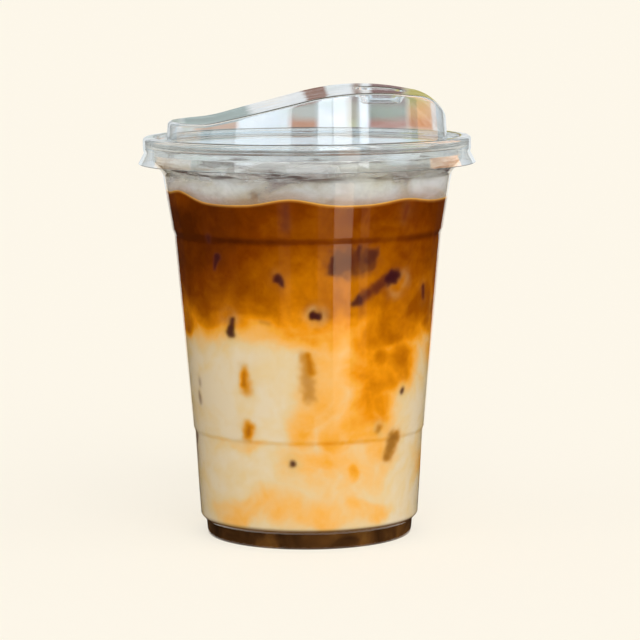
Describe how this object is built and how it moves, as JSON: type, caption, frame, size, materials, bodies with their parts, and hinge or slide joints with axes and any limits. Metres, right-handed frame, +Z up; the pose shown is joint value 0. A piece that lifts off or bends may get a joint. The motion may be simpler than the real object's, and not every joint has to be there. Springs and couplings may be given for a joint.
{
  "type": "iced latte",
  "caption": "Layered iced latte with floating ice in a clear tapered take-away cup, closed by a clear asymmetric sip lid.",
  "frame": {"origin": "middle of the foot, on the surface that the cup stands on", "axes": "+Z up along the cup's axis, +X towards the side that one drinks from, where the lid is highest"},
  "size_m": [0.102, 0.102, 0.1355],
  "materials": {
    "clear_cup": "clear glossy plastic",
    "clear_lid": "clear glossy plastic",
    "coffee": "liquid",
    "milk": "liquid",
    "syrup": "liquid",
    "ice": "wet, slightly cloudy"
  },
  "bodies": {
    "root": {"cup": "clear_cup", "lid": "clear_lid", "coffee": "coffee", "milk": "milk", "syrup": "syrup", "ice_1": "ice", "ice_2": "ice", "ice_3": "ice", "ice_4": "ice", "ice_5": "ice", "ice_6": "ice"}
  },
  "joints": []
}
